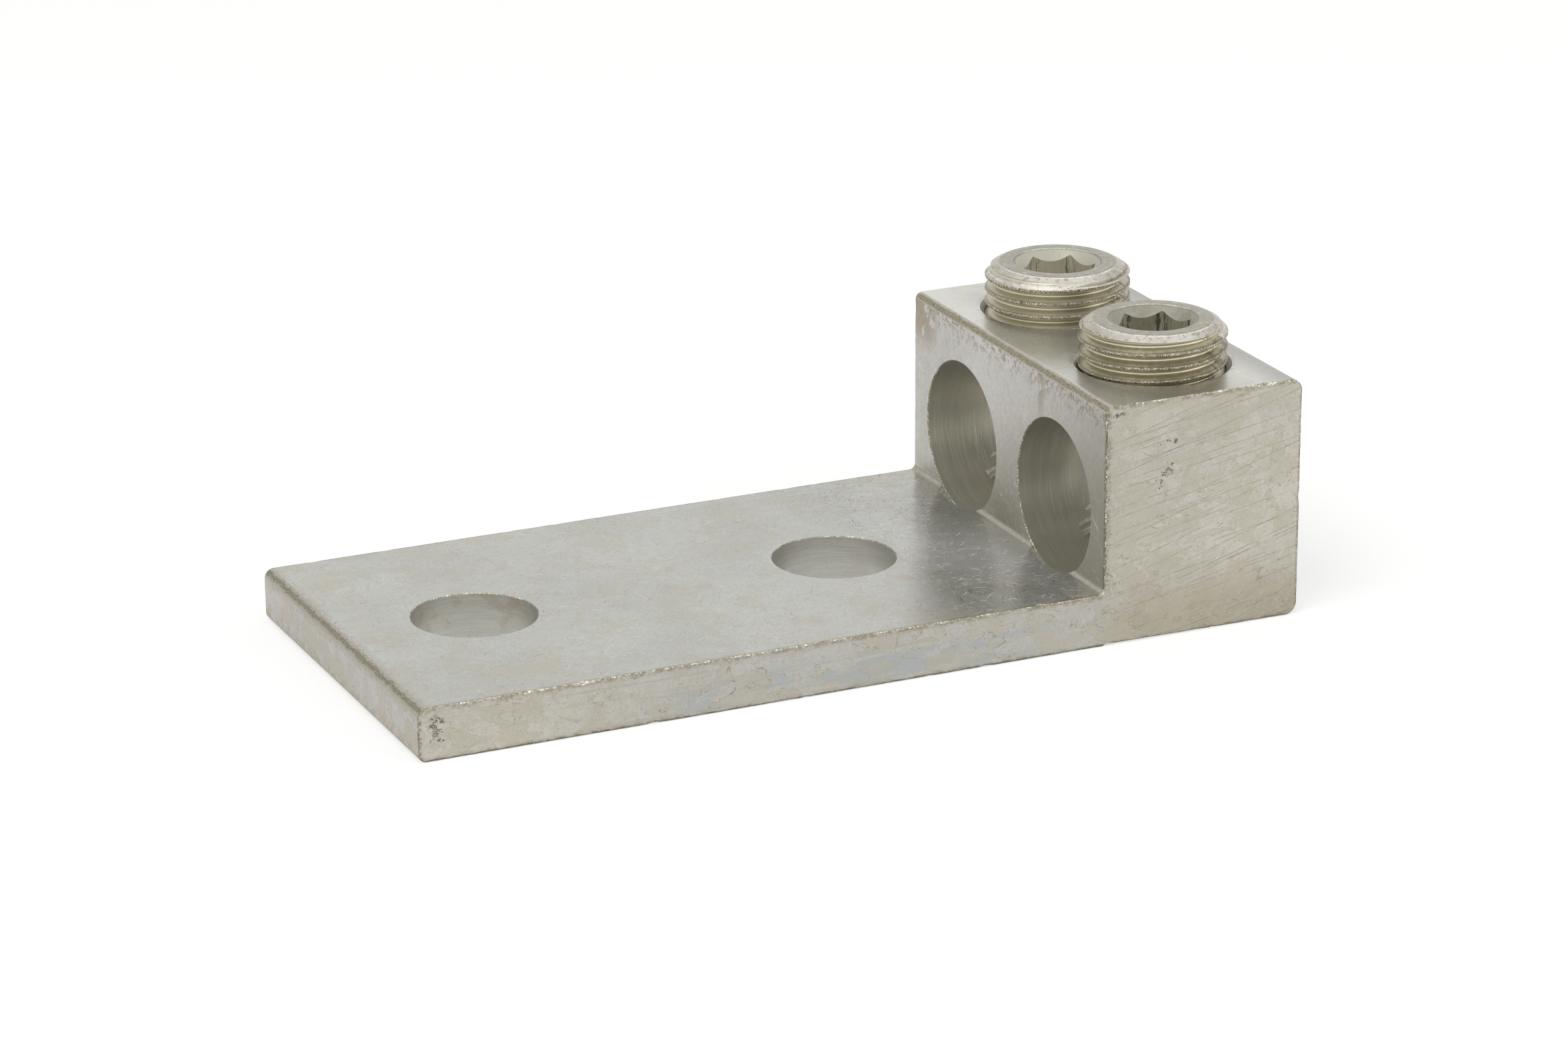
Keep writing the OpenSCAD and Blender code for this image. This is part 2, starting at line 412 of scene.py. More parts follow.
class Graph:
    """Node helpers. Positions are in millimetres, in the piece's own frame."""

    def __init__(self, name, metallic):
        self.mat = bpy.data.materials.new(name)
        self.t = empty_tree(self.mat)
        out = self.node("OutputMaterial")
        self.bsdf = self.node("BsdfPrincipled", Metallic=metallic)
        self.t.links.new(self.bsdf.outputs[0], out.inputs[0])
        self.mm = self.vmath("SCALE", self.node("TexCoord").outputs["Object"], 1 / MM, "Scale")
        self.x, self.y, self.z = self.apart(self.mm)
        self.colour = None

    def node(self, kind, **inputs):
        n = self.t.nodes.new("ShaderNode" + kind)
        for name, value in inputs.items():
            self.put(n.inputs[name.replace("_", " ")], value)
        return n

    def put(self, socket, value):
        if isinstance(value, bpy.types.NodeSocket):
            self.t.links.new(value, socket)
        elif isinstance(value, tuple) and socket.type == "RGBA":
            socket.default_value = (*value, 1)
        else:
            socket.default_value = value

    def apart(self, v):
        return self.node("SeparateXYZ", Vector=v).outputs

    def math(self, op, a, b=0.0, clamp=False):
        n = self.node("Math")
        n.operation, n.use_clamp = op, clamp
        self.put(n.inputs[0], a)
        self.put(n.inputs[1], b)
        return n.outputs[0]

    def vmath(self, op, a, b, second=1):
        n = self.node("VectorMath")
        n.operation = op
        self.put(n.inputs[0], a)
        self.put(n.inputs[second], b)
        return n.outputs[0]

    def chain(self, op, values):
        out = values[0]
        for v in values[1:]:
            out = self.math(op, out, v)
        return out

    def add(self, *values):
        return self.chain("ADD", values)

    def mul(self, *values):
        return self.chain("MULTIPLY", values)

    def most(self, *values):
        return self.chain("MAXIMUM", values)

    def sub(self, a, b):
        return self.math("SUBTRACT", a, b)

    def div(self, a, b):
        return self.math("DIVIDE", a, b)

    def abs(self, a):
        return self.math("ABSOLUTE", a)

    def length(self, a, b):
        return self.math("SQRT", self.add(self.mul(a, a), self.mul(b, b)))

    def warp(self, scale, rot=(0, 0, 0), loc=(0, 0, 0), at=None):
        rot = [math.radians(a) for a in rot]
        return self.node("Mapping", Vector=at or self.mm, Rotation=rot, Scale=scale, Location=loc).outputs[0]

    def shift(self, *place):
        return self.warp((1, 1, 1), loc=place)

    def noise(self, scale, detail=2.0, rough=0.5, dist=0.0, at=None):
        look = {"Scale": scale, "Detail": detail, "Roughness": rough, "Distortion": dist}
        return self.node("TexNoise", Vector=at or self.mm, **look).outputs[0]

    def patchy(self, scale, detail, rough, lo, hi, a=0.0, b=1.0):
        return self.step(self.noise(scale, detail, rough), lo, hi, a, b)

    def cells(self, v, scale):
        return self.node("TexVoronoi", Vector=v, Scale=scale).outputs

    def step(self, v, lo, hi, a=0.0, b=1.0):
        """From a to b, smoothly, as v goes from lo to hi."""
        n = self.node("MapRange", Value=v, From_Min=lo, From_Max=hi, To_Min=a, To_Max=b)
        n.interpolation_type = "SMOOTHSTEP"
        return n.outputs[0]

    def near(self, v, target, width, core=0):
        """1 where v is within the core of the target, falling to 0 at the width."""
        return self.step(self.abs(self.sub(v, target)), core, width, 1, 0)

    def mix(self, fac, a, b):
        n = self.node("Mix")
        n.data_type = "RGBA"
        for i, value in ((0, fac), (6, a), (7, b)):
            self.put(n.inputs[i], value)
        return n.outputs[2]

    def fade(self, v, lo, hi, a, b):
        """From colour a to colour b as v goes from lo to hi."""
        return self.mix(self.step(v, lo, hi), a, b)

    def paint(self, tint, *masks):
        """Lays a tint over the present colour where all the masks are high."""
        self.colour = self.mix(self.mul(*masks), self.colour, tint)

    def turned(self, angle, plane, seed):
        """Positions turned by an angle in a plane, and the plane's two axes."""
        axis, sign, along, across = PLANES[plane]
        rot = [0, 0, 0]
        rot[axis] = sign * angle
        return self.warp((1, 1, 1), rot, (seed, seed * 1.7, seed * 0.6)), along, across

    def hairs(self, angle, plane, width, length, seed, density):
        """Thin long scratches at an angle in a plane."""
        v, along, _ = self.turned(angle, plane, seed)
        size = [1, 1, 1]
        size[along] = 1 / length
        line = self.near(self.noise(1.6, 1.0, 0.5, 0.15, at=self.warp(size, at=v)), 0.5, width)
        broken = self.noise(0.5, at=self.warp((0.35, 0.9, 0.9), at=v))
        return self.mul(line, self.step(broken, density, density + 0.06))

    def dashes(self, angle, plane, gap, length, width, keep, seed):
        """Short straight marks strewn at an angle in a plane."""
        v, along, across = self.turned(angle, plane, seed)
        size = [1 / gap[1]] * 3
        size[along] = 1 / gap[0]
        cell = self.warp(size, at=v)
        found = self.cells(cell, 1.0)
        place = self.apart(self.vmath("SUBTRACT", cell, found["Position"]))
        far = self.mul(self.abs(place[along]), gap[0])
        off = self.mul(self.abs(place[across]), gap[1])
        chosen = self.step(self.apart(found["Color"])[0], keep, keep + 0.02)
        inside = self.mul(self.step(far, length * 0.3, length * 0.5, 1, 0), self.step(off, 0, width, 1, 0))
        return self.mul(inside, chosen)

    def matt(self, mask, metallic):
        """Where the mask is 1 the surface scatters light as a torn scratch does."""
        self.put(self.bsdf.inputs["Metallic"], self.step(mask, 0.0, 1.0, metallic, 0.0))

    def done(self, rough, height, mm):
        """Gives the surface its colour, its roughness and a relief that is mm high."""
        relief = self.node("Bump", Strength=1.0, Distance=mm * MM, Height=height).outputs[0]
        for name, value in (("Base Color", self.colour), ("Roughness", rough), ("Normal", relief)):
            self.put(self.bsdf.inputs[name], value)
        return self.mat


def stains(g, beige, brown, level, scale, seed, strength, rim=0.006):
    """Irregular dried patches with thin broken darker outlines."""
    v = g.shift(seed, seed * 0.7, seed * 1.3)
    n = g.noise(scale, 5, 0.55, 0.8, at=v)
    patch = g.step(n, level, level + 0.05)
    broken = g.step(g.noise(0.7, 3, at=v), 0.44, 0.66)
    g.paint(beige, patch, strength * 0.6)
    g.paint(brown, g.near(n, level, rim), broken, strength)
    return patch


def specks(g, dark, light, amount, seed):
    """Fine pits and bright grains."""
    v = g.shift(seed, seed, seed)
    dot = g.step(g.cells(v, 1.1)["Distance"], 0.03, 0.1, 1, 0)
    dot = g.mul(dot, g.step(g.noise(0.9, 1, at=v), 0.56, 0.6))
    fine = g.noise(5.5, 3, 0.65, at=v)
    g.paint(dark, dot, 0.6 * amount)
    g.paint(dark, g.step(fine, 0.54, 0.76), 0.42 * amount)
    g.paint(light, g.step(fine, 0.44, 0.24), 0.5 * amount)
    return g.sub(g.mul(fine, 0.8), dot)


def tin_skin(name, base, seed, beige=(0.47, 0.43, 0.34), rough=0.38, stain=0.6, plane="XY", scratch=0.5,
             metallic=0.8, level=0.56, extra=None, speck=1, nick=0.5):
    """Tinned metal with patches, pits, scratches and nicks, and what is particular to one face."""
    g, brown = Graph(name, metallic), (0.27, 0.23, 0.16)
    g.colour = g.mix(g.patchy(0.1, 3, 0.5, 0.3, 0.7), tone(base, 0.94), tone(base, 1.05))
    mid = g.noise(0.9, 4, 0.65, at=g.shift(seed, 3, seed))
    g.paint(tone(base, 0.78), g.step(mid, 0.5, 0.72, 0, 0.28))
    g.paint(tone(base, 1.14), g.step(mid, 0.48, 0.3, 0, 0.3))
    patch = stains(g, beige, brown, level, 0.18, seed, stain)
    stains(g, beige, brown, level + 0.03, 0.6, seed + 31, stain * 0.8)
    dots = specks(g, tone(base, 0.42), tone(base, 1.5), speck, seed)
    angles = enumerate((8, 62, -37, 104))
    lines = g.most(*[g.hairs(a, plane, 0.009, 7 + 4 * k, seed + 11 * k, 0.54) for k, a in angles])
    g.paint(tone(base, 1.4), lines, 0.4 * scratch)
    g.height = g.sub(g.mul(dots, 0.6), g.mul(lines, 0.8 * scratch))
    for k, angle in enumerate((4, -24, 47)):
        tint = (0.88, 0.87, 0.82) if k < 2 else tone(base, 0.45)
        nicks = g.dashes(angle, plane, (3.4, 1.7), 0.45 + 0.3 * k, 0.035, 0.62, seed + 5 * k)
        g.paint(tint, nicks, 0.8 * nick)
    if extra:
        extra(g)
    rough = g.add(rough, g.mul(patch, 0.03))
    return g.done(g.math("ADD", rough, g.mul(g.noise(0.9, 3), 0.08), clamp=True), g.height, 0.01)


def blot(g, cx, cz, sx, sz, level, size=1.3, lean=0):
    """A ragged smear inside an oval."""
    v = g.sub(g.z, cz)
    u = g.add(g.sub(g.x, cx), g.mul(v, lean))
    d = g.add(g.math("POWER", g.div(u, sx), 2), g.math("POWER", g.div(v, sz), 2))
    n = g.noise(size, 5, 0.7, 0.6, at=g.shift(cx, 0, cz))
    return g.step(g.sub(n, g.mul(d, 0.12)), level, level + 0.07)


def side_extra(g):
    block = g.step(g.x, XF - 3, XF + 5)
    tongue_side = g.sub(1, block)
    # greyer along the tongue, browner towards the block's bottom
    g.paint((0.455, 0.455, 0.435), g.step(g.x, -32, 0), tongue_side, 0.65)
    g.paint((0.365, 0.335, 0.255), g.step(g.add(g.z, g.mul(g.noise(0.3, 3), 6)), 14, 4), block, 0.8)
    g.paint((0.47, 0.44, 0.37), g.step(g.noise(0.35, 4, 0.6, 0.5), 0.5, 0.7), 0.4)
    grain = g.noise(2.6, 5, 0.7)
    g.paint((0.38, 0.35, 0.28), g.step(grain, 0.5, 0.7, 0, 0.5))
    g.paint((0.62, 0.6, 0.54), g.step(grain, 0.46, 0.3, 0, 0.5))
    # saw lines that rise to the right
    worn = g.step(g.noise(0.9, 5, 0.65, at=g.warp((0.3, 1, 1))), 0.34, 0.56)
    saw = ((13, 1.9, 0.045, 0.3, 17), (10, 1.4, 0.055, 0.45, 26), (17, 2.9, 0.065, 0.35, 35))
    lines = [g.dashes(a, "XZ", (40, gap), 60, width, keep, seed) for a, gap, width, keep, seed in saw]
    fall = g.mul(g.most(*lines), worn)
    grind = g.noise(3, 4, 0.75, at=g.warp((0.02, 0.3, 1), at=g.warp((1, 1, 1), (0, 12, 0))))
    g.paint((0.62, 0.6, 0.55), g.step(grind, 0.52, 0.7), block, 0.3)
    g.paint((0.4, 0.37, 0.3), g.step(grind, 0.46, 0.32), block, 0.22)
    g.paint((0.25, 0.21, 0.145), fall, block, 0.85)
    long_lines = g.noise(2.6, 4, 0.75, at=g.warp((0.012, 0.3, 1)))
    g.paint((0.36, 0.33, 0.26), g.step(long_lines, 0.47, 0.34), tongue_side, 0.35)
    scratch = g.dashes(4, "XZ", (22, 1.2), 26, 0.03, 0.55, 71)
    g.paint((0.27, 0.23, 0.16), scratch, worn, tongue_side, g.step(g.x, -6, 2, 0, 0.6))
    dust = g.patchy(3.4, 3, 0.7, 0.62, 0.67)
    g.paint((0.25, 0.22, 0.155), dust, tongue_side, g.step(g.noise(0.25, 2), 0.42, 0.56, 0.15, 0.7))
    wear = g.add(g.mul(grind, block), g.mul(long_lines, tongue_side))
    g.height = g.add(g.height, g.mul(wear, 1.4), g.mul(fall, block, -1.6))
    # cool grey smears on the tongue's side
    smear = g.step(g.noise(0.5, 5, 0.6, 0.5, at=g.warp((0.3, 1, 1), loc=(3, 0, 1))), 0.47, 0.55)
    where = g.mul(g.near(g.x, 14, 26, 17), g.near(g.z, 2.1, 2.4, 1.1))
    g.paint((0.4, 0.425, 0.43), smear, where, 0.75)
    # long dried drips on the sawn face
    tide = g.noise(0.42, 3, 0.5, 1.2, at=g.warp((0.55, 1, 0.9), loc=(9, 0, 2)))
    g.paint((0.465, 0.43, 0.335), g.step(tide, 0.515, 0.535, 0, 0.4))
    amount = g.mul(g.step(g.noise(0.4, 3), 0.4, 0.55, 0, 0.8), g.step(block, 0, 1, 1, 0.7))
    g.paint((0.29, 0.24, 0.165), g.near(tide, 0.52, 0.01), amount)

    def below(depth, width):
        return g.mul(g.step(depth, 0.15, width, 1, 0), g.step(depth, -0.05, 0))

    # a brown line under the sawn top edges, a darker bottom edge
    tongue = g.step(g.x, XF - 0.2, XF, 1, 0)
    for edge_z, k in ((T, tongue), (H, 1)):
        mottle = g.step(g.noise(3, 4, 0.7, at=g.warp((0.7, 1, 1))), 0.4, 0.6)
        g.paint((0.24, 0.2, 0.13), below(g.sub(edge_z, g.z), 0.75), mottle, k, 0.75)
    mottle = g.mul(g.patchy(2.2, 4, 0.7, 0.42, 0.6), g.step(g.z, T, T + 0.6, 0, 0.75))
    g.paint((0.22, 0.18, 0.115), below(g.sub(g.x, XF), 0.9), mottle)
    g.paint((0.22, 0.185, 0.12), g.step(g.x, XR - 0.45, XR - 0.12), g.patchy(2, 4, 0.7, 0.4, 0.56, 0.1, 0.8))
    mottle = g.patchy(2.4, 4, 0.7, 0.42, 0.58, 0.05, 0.85)
    g.paint((0.17, 0.145, 0.1), g.step(g.x, X0 + 0.65, X0 + 0.12), mottle)
    mottle = g.step(g.noise(1.3, 5, 0.7, at=g.warp((0.6, 1, 1.2))), 0.4, 0.66)
    g.paint((0.2, 0.17, 0.12), g.step(g.z, 0.75, 0.05), mottle, 0.85)
    g.paint((0.13, 0.11, 0.075), g.step(g.z, 0.32, 0.14), g.step(mottle, 0, 0.5, 0.55, 0.95))
    # smears by the tongue's end and on the block, on the right-hand side only
    ovals = ((-36.3, 4.1, 1.15, 1.5, 0.45, 2.1), (52, 19.6, 1, 1.6, 0.47, 1.9, -0.5),
             (52.7, 23.3, 0.8, 0.3, 0.42, 1.9, 0.6), (46, 27.3, 1.2, 0.5, 0.46, 1.7),
             (-36.5, 2.3, 1.4, 0.28, 0.46, 1.9))
    g.paint((0.11, 0.09, 0.065), g.most(*[blot(g, *oval) for oval in ovals]), g.step(g.y, 0, -1), 0.8)


def tongue_extra(g):
    mottle = g.patchy(2.8, 4, 0.7, 0.44, 0.62, 0.05, 0.6)
    g.paint((0.27, 0.24, 0.165), g.step(g.x, X0 + 1.9, X0 + 1.15), mottle)
    stains(g, (0.45, 0.42, 0.32), (0.29, 0.245, 0.16), 0.55, 0.11, 61, 0.55, rim=0.005)
    g.paint((0.3, 0.26, 0.18), g.step(g.y, -W / 2 + 0.9, -W / 2 + 0.1), g.patchy(1.2, 4, 0.6, 0.46, 0.6), 0.4)
    line = g.mul(g.step(g.abs(g.y), W / 2 - 0.6, W / 2 - 0.25), g.patchy(2.3, 4, 0.7, 0.38, 0.56))
    g.paint((0.25, 0.21, 0.14), line, 0.7)
    for k, angle in enumerate((-35, 58)):
        g.paint((0.24, 0.21, 0.15), g.hairs(angle, "XY", 0.014, 2.2 + k, 83 + 9 * k, 0.56), 0.55)
    # rubbed zone by the block: short bright and dark scratches in all directions
    zone = g.step(g.add(g.x, g.mul(g.noise(0.2, 2), 6)), 27, 34)
    for k, angle in enumerate((-48, 12, 70)):
        tint = (0.12, 0.11, 0.09) if k else (0.1, 0.095, 0.08)
        g.paint(tint, g.hairs(angle, "XY", 0.016, 3 + k, 41 + 7 * k, 0.48), zone, 0.6)
    # torn scratches that stay bright where the block is mirrored, and a few at the tongue's end
    marks = ((-19, (3.6, 1.4), 2, 0.72, 3), (-57, (2.8, 1.6), 1.6, 0.74, 16),
             (9, (5, 2.2), 3.8, 0.66, 29), (41, (3, 1.7), 1.5, 0.74, 42))
    torn = [g.dashes(a, "XY", gap, length, 0.055, keep, seed) for a, gap, length, keep, seed in marks]
    turned = [g.warp((0.35, 1.2, 1), at=g.warp((1, 1, 1), (0, 0, angle))) for angle in (-30, 35)]
    fuzz = g.most(*[g.step(g.noise(3, 4, 0.75, at=v), 0.56, 0.7) for v in turned])
    patch = g.mul(fuzz, g.step(g.noise(0.28, 3), 0.46, 0.6))
    near = g.step(g.y, 9, -6, 0.15, 1)
    torn = g.mul(g.most(*torn), g.step(g.noise(1, 3), 0.4, 0.56))
    where = g.mul(zone, g.step(g.x, XF - 0.6, XF - 2.2))
    where = g.most(where, g.mul(g.step(g.noise(0.13, 2), 0.52, 0.6), 0.35))
    torn = g.mul(g.most(torn, g.mul(patch, near, 0.65)), where)
    g.matt(torn, 0.62)
    veil = g.mul(g.step(g.x, 29, 35), g.near(g.y, -6, 17), g.step(g.x, XF - 1, XF - 5, 0.4, 0.8))
    g.paint((0.7, 0.71, 0.71), veil)
    g.paint((0.97, 0.97, 0.96), torn)


def front_extra(g):
    f = g.add(g.mul(g.sub(H, g.z), 0.5 / 22), g.mul(g.sub(24, g.y), 0.5 / 48))
    g.paint((0.345, 0.325, 0.265), g.step(f, 0.25, 1, 0, 0.95))
    g.paint((0.3, 0.285, 0.225), g.step(g.z, 13, 7), g.near(g.y, 0, 9))
    # fine diagonal rub marks and a few grey drag marks
    cutter = g.noise(3.2, 3, 0.7, at=g.warp((1, 1, 0.1), (28, 0, 0)))
    g.paint((0.64, 0.63, 0.6), g.step(cutter, 0.52, 0.72, 0, 0.24))
    g.paint((0.34, 0.32, 0.28), g.step(cutter, 0.44, 0.3, 0, 0.17))
    g.height = g.add(g.height, g.mul(cutter, 0.3))
    spot = g.noise(1.7, 5, 0.72)
    edge = g.step(g.add(g.z, g.mul(g.noise(0.6, 3), 5)), H - 1.2, H + 2)
    g.paint((0.29, 0.235, 0.165), g.step(spot, 0.48, 0.6), g.add(0.14, g.mul(edge, 0.75)))
    g.paint((0.66, 0.65, 0.62), g.step(spot, 0.44, 0.3, 0, 0.3))
    g.paint((0.72, 0.71, 0.68), g.hairs(38, "YZ", 0.012, 9, 5, 0.5), 0.6)
    drip = g.noise(0.55, 3, 0.5, 0.8, at=g.warp((1, 1, 0.6), loc=(2, 5, 1)))
    corner = g.add(g.mul(g.step(g.y, 17, 21.5), g.step(g.z, 21, 25)),
                   g.mul(g.near(g.y, -8.2, 1.6), g.step(g.z, 20, 27)))
    g.paint((0.33, 0.28, 0.2), g.step(drip, 0.42, 0.47), corner, 0.75)
    line = g.mul(g.step(g.y, -W / 2 + 0.6, -W / 2 + 0.25), g.patchy(2, 4, 0.7, 0.36, 0.54))
    g.paint((0.2, 0.165, 0.105), line, 0.8)


def top_extra(g):
    # painted sheen: a lighter strip along the front edge; the top is also darker towards the rear
    g.paint((0.74, 0.73, 0.67), g.step(g.x, XF + 7, XF + 2, 0, 0.5))
    g.paint((0.39, 0.385, 0.36), g.step(g.x, SX + 7, SX + 11, 0, 0.85))
    # painted reflection of the near screw: a darker tint on the top in front of it
    g.paint((0.48, 0.46, 0.37), g.step(g.y, -19, -21), g.near(g.x, SX - 1.5, 9))
    for by in BORE_Y:
        d = g.length(g.sub(g.x, SX), g.sub(g.y, by))
        g.paint((0.24, 0.22, 0.16), g.near(d, 9.2, 0.7), g.patchy(1.4, 4, 0.7, 0.42, 0.6), 0.45)


def end_extra(g):
    g.paint((0.27, 0.24, 0.165), g.step(g.z, T - 1.7, T - 1.2), g.patchy(2.8, 4, 0.7, 0.44, 0.62, 0.05, 0.6))
    drip = g.noise(0.34, 4, 0.55, 0.7, at=g.warp((1, 1, 0.85), loc=(2, 5, 1)))
    g.paint((0.44, 0.4, 0.3), g.step(drip, 0.5, 0.52, 0, 0.45))
    g.paint((0.4, 0.37, 0.27), g.step(g.z, 2.6, 0.8), g.step(g.noise(0.9, 4), 0.42, 0.6))
    g.paint((0.32, 0.265, 0.175), g.near(drip, 0.51, 0.01), 0.55)
    spots = g.noise(2.3, 5, 0.72)
    g.paint((0.33, 0.3, 0.23), g.step(spots, 0.52, 0.68, 0, 0.45))
    g.paint((0.6, 0.59, 0.55), g.step(spots, 0.46, 0.32, 0, 0.35))


def rounded_edges():
    """Each extruded corner has its own tone, found from where it is."""
    g = Graph("tin_rounded_edge", 0.8)
    grit = g.noise(3.4, 4, 0.7)
    slow = g.noise(0.7, 3, 0.6)
    g.colour = g.fade(grit, 0.34, 0.66, (0.4, 0.38, 0.33), (0.54, 0.52, 0.47))
    wave = g.add(g.mul(g.sub(slow, 0.5), 0.5), g.mul(g.sub(grit, 0.5), 0.7))

    def stripe(v, centre, width, tint, amount, where):
        """A grainy line along an edge, where v is at the centre."""
        g.paint(tint, g.near(g.add(v, wave), centre, width * 1.2, width * 0.6), where, amount)

    top = g.step(g.z, H - 1.6, H - 1.5)
    front = g.mul(top, g.step(g.x, XF + 2, XF + 1.9))
    v = g.sub(g.sub(g.x, XF), g.sub(H, g.z))
    brown = g.mix(g.patchy(5.5, 3, 0.75, 0.4, 0.6), (0.16, 0.135, 0.085), (0.4, 0.355, 0.255))
    stripe(v, -0.1, 0.5, brown, 0.9, front)
    v = g.sub(g.sub(XR, g.x), g.sub(H, g.z))
    stripe(v, -0.4, 0.5, (0.24, 0.21, 0.15), 0.6, g.mul(top, g.step(g.x, XR - 2.1, XR - 2)))
    end = g.step(g.x, X0 + 1.4, X0 + 1.3)
    v = g.sub(g.sub(g.x, X0), g.sub(T, g.z))
    at_end = g.mul(end, g.step(g.z, T - 1.4, T - 1.3))
    g.paint(g.fade(grit, 0.34, 0.66, (0.36, 0.345, 0.28), (0.46, 0.445, 0.39)), at_end)
    rough_v = g.add(v, g.mul(g.sub(g.noise(0.9, 4, 0.65), 0.5), 1.3), g.mul(g.sub(grit, 0.5), 0.9))
    brown = g.mix(g.patchy(5, 3, 0.7, 0.42, 0.6), (0.165, 0.145, 0.1), (0.33, 0.3, 0.215))
    stripe(rough_v, 0.05, 0.48, brown, 0.9, at_end)
    bottom = g.step(g.z, 1.6, 1.5)
    g.paint((0.25, 0.22, 0.16), bottom, g.step(slow, 0.4, 0.62, 0.1, 0.6))
    # the inner corner: brown above, a pale band along the tongue
    inner = g.mul(g.near(g.x, XF - 0.3, 1.2), g.step(g.z, T - 0.2, T - 0.1), g.step(g.z, T + 1, T + 0.9))
    g.paint(g.fade(grit, 0.3, 0.7, (0.33, 0.315, 0.26), (0.45, 0.435, 0.375)), inner)
    stripe(g.sub(g.z, T), 0.58, 0.16, (0.25, 0.22, 0.155), 0.6, inner)
    stripe(g.sub(XF - 0.66, g.x), 0, 0.06, (0.24, 0.22, 0.17), 0.5, inner)
    return g.done(g.add(0.42, g.mul(grit, 0.14)), grit, 0.012)


def by_screw(g, values):
    """The value for the right or the left screw, told apart by y."""
    return g.step(g.y, -0.1, 0.1, *[values[y] for y in BORE_Y])


def from_axis(g):
    """The way from a screw's axis to the point, along x and y."""
    return g.sub(g.x, SX), g.sub(g.y, by_screw(g, {y: y for y in BORE_Y}))


def turn_of(g, full):
    """The angle round a screw's axis, in units of which a full turn has the given number."""
    dx, dy = from_axis(g)
    return g.mul(g.math("ARCTAN2", dy, dx), full / (2 * math.pi))


def thread_phase(g):
    """0 and 1 at a screw's crest, 0.5 at its root, less than 0.5 on the flank that looks up."""
    start = by_screw(g, {y: helix_start(y) for y in BORE_Y})
    return g.math("FRACT", g.sub(g.div(g.sub(g.z, start), P), turn_of(g, 1)))


def crest_distance(g, phase):
    return g.abs(g.sub(g.math("FRACT", g.add(phase, 0.5)), 0.5))


def facing_of(g):
    """1 on a screw's side that faces the camera, -1 on the opposite side; it places the screws' painted
    highlights and shade.
    """
    dx, dy = from_axis(g)
    return g.div(g.add(g.mul(dx, FACING[0]), g.mul(dy, FACING[1])), radius_of(g))


def corner_angle(g):
    """Degrees from a socket's nearest corner."""
    sixth = g.math("FRACT", g.add(g.div(g.sub(turn_of(g, 360), by_screw(g, TURN)), 60), 12.5))
    return g.mul(g.abs(g.sub(sixth, 0.5)), 60)


def radius_of(g):
    return g.length(*from_axis(g))


def burred_edge():
    g = Graph("tin_burred_edge", 0.9)
    grit = g.noise(4.2, 4, 0.75)
    slow = g.noise(0.5, 3, 0.6)
    dark = g.fade(slow, 0.35, 0.65, (0.23, 0.2, 0.135), (0.37, 0.34, 0.26))
    # the light grains, brightest where the slow noise is high, are painted glints along the sawn edges
    light = g.fade(slow, 0.42, 0.6, (0.52, 0.5, 0.42), (0.95, 0.93, 0.86))
    g.colour = g.fade(grit, 0.47, 0.6, dark, light)
    g.paint(g.fade(grit, 0.4, 0.65, (0.1, 0.085, 0.06), (0.26, 0.235, 0.175)), g.step(g.z, 1, 0.4))
    upright = g.mul(g.near(g.x, XF, 0.6), g.step(g.z, T + 0.5, T + 1))
    g.paint((0.2, 0.17, 0.115), upright, g.step(grit, 0.56, 0.5, 0.2, 0.8))
    g.paint((0.2, 0.175, 0.125), g.step(g.x, X0 + 0.9, X0 + 0.5, 0, 0.6))
    g.paint((0.13, 0.11, 0.075), g.step(g.x, XR - 0.9, XR - 0.3), g.step(grit, 0.58, 0.5, 0.25, 0.85))
    return g.done(0.3, grit, 0.1)


def bolt_hole_wall():
    g = Graph("tin_bolt_hole_wall", 0.7)
    rings = g.noise(5, 3, 0.6, at=g.warp((0.04, 0.04, 1)))
    g.colour = g.fade(rings, 0.3, 0.7, (0.5, 0.495, 0.45), (0.58, 0.57, 0.52))
    clean = g.colour
    stains(g, (0.44, 0.39, 0.29), (0.2, 0.17, 0.11), 0.53, 0.35, 3, 0.85, rim=0.01)
    g.colour = g.mix(g.step(g.x, 0, 5, 1, 0.2), clean, g.colour)
    specks(g, (0.12, 0.1, 0.06), (0.7, 0.68, 0.62), 0.6, 2)
    return g.done(0.36, rings, 0.015)


